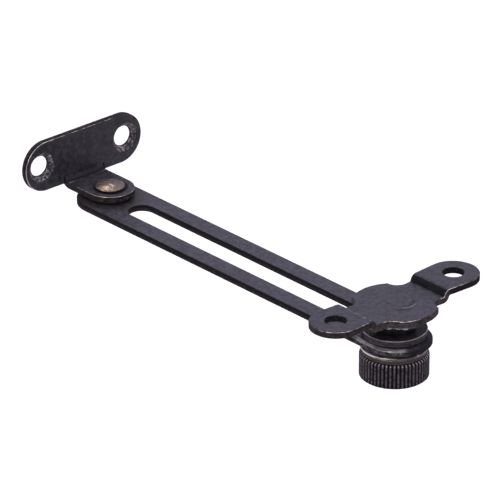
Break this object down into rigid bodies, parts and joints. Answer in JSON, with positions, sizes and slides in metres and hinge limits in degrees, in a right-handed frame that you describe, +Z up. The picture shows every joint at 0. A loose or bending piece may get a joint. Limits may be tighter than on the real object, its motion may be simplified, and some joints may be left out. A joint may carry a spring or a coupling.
{
  "type": "casement window stay",
  "caption": "Sliding arm stay for a casement window: slotted flat arm riveted to a bent sash bracket and clamped by a knurled thumb nut to an eared frame plate.",
  "frame": {"origin": "centre of the sash bracket's mounting face, midway between its two screw holes", "axes": "+X along the arm from the sash bracket to the clamp stud, +Y along the sash bracket's face, +Z up, away from the thumb nut"},
  "size_m": [0.1191, 0.0486, 0.0253],
  "materials": {
    "bracket_black_bronze": "black-bronze plating, satin, worn light along the edges",
    "arm_black_bronze": "black-bronze plating, satin, faint violet-grey sheen",
    "plate_black_bronze": "black-bronze plating, satin, brown burr along the sheared edge",
    "washer_black_bronze": "black-bronze plating, worn rims",
    "nut_black_bronze": "black-bronze plating, ridges worn brown",
    "rivet_worn_bronze": "warm bronze, rubbed bright on the dome",
    "spring_steel": "warm grey spring steel",
    "plain_steel": "dark turned steel"
  },
  "bodies": {
    "frame": {"frame_plate": "plate_black_bronze", "clamp_stud": "plain_steel"},
    "swivel_washer": {"upper_washer": "washer_black_bronze"},
    "arm": {"slotted_arm": "arm_black_bronze", "pivot_rivet": "rivet_worn_bronze", "pivot_washer": "plain_steel"},
    "sash": {"sash_bracket": "bracket_black_bronze"},
    "spring_stack": {"spring_washer": "spring_steel", "lower_washer": "washer_black_bronze"},
    "nut": {"thumb_nut": "nut_black_bronze"}
  },
  "joints": [
    {"name": "stay_swivel", "type": "hinge", "parent": "frame", "child": "swivel_washer", "pos_m": [0.1091, 0, -0.0081], "axis": [0, 0, 1], "range_deg": [-90, 90]},
    {"name": "arm_slide", "type": "slide", "parent": "swivel_washer", "child": "arm", "axis": [1, 0, 0], "range_m": [-0.0009, 0.0844]},
    {"name": "sash_pivot", "type": "hinge", "parent": "arm", "child": "sash", "pos_m": [0.011, 0, -0.0081], "axis": [0, 0, 1], "range_deg": [-85, 85]},
    {"name": "nut_travel", "type": "slide", "parent": "frame", "child": "spring_stack", "axis": [0, 0, -1], "range_m": [0, 0.002]},
    {"name": "thumb_nut_turn", "type": "hinge", "parent": "spring_stack", "child": "nut", "pos_m": [0.1091, 0, -0.0155], "axis": [0, 0, -1], "range_deg": [0, 720]}
  ],
  "couplings": [
    {"joint": "nut_travel", "follows": "thumb_nut_turn", "m_per_rad": 0.00015915}
  ]
}
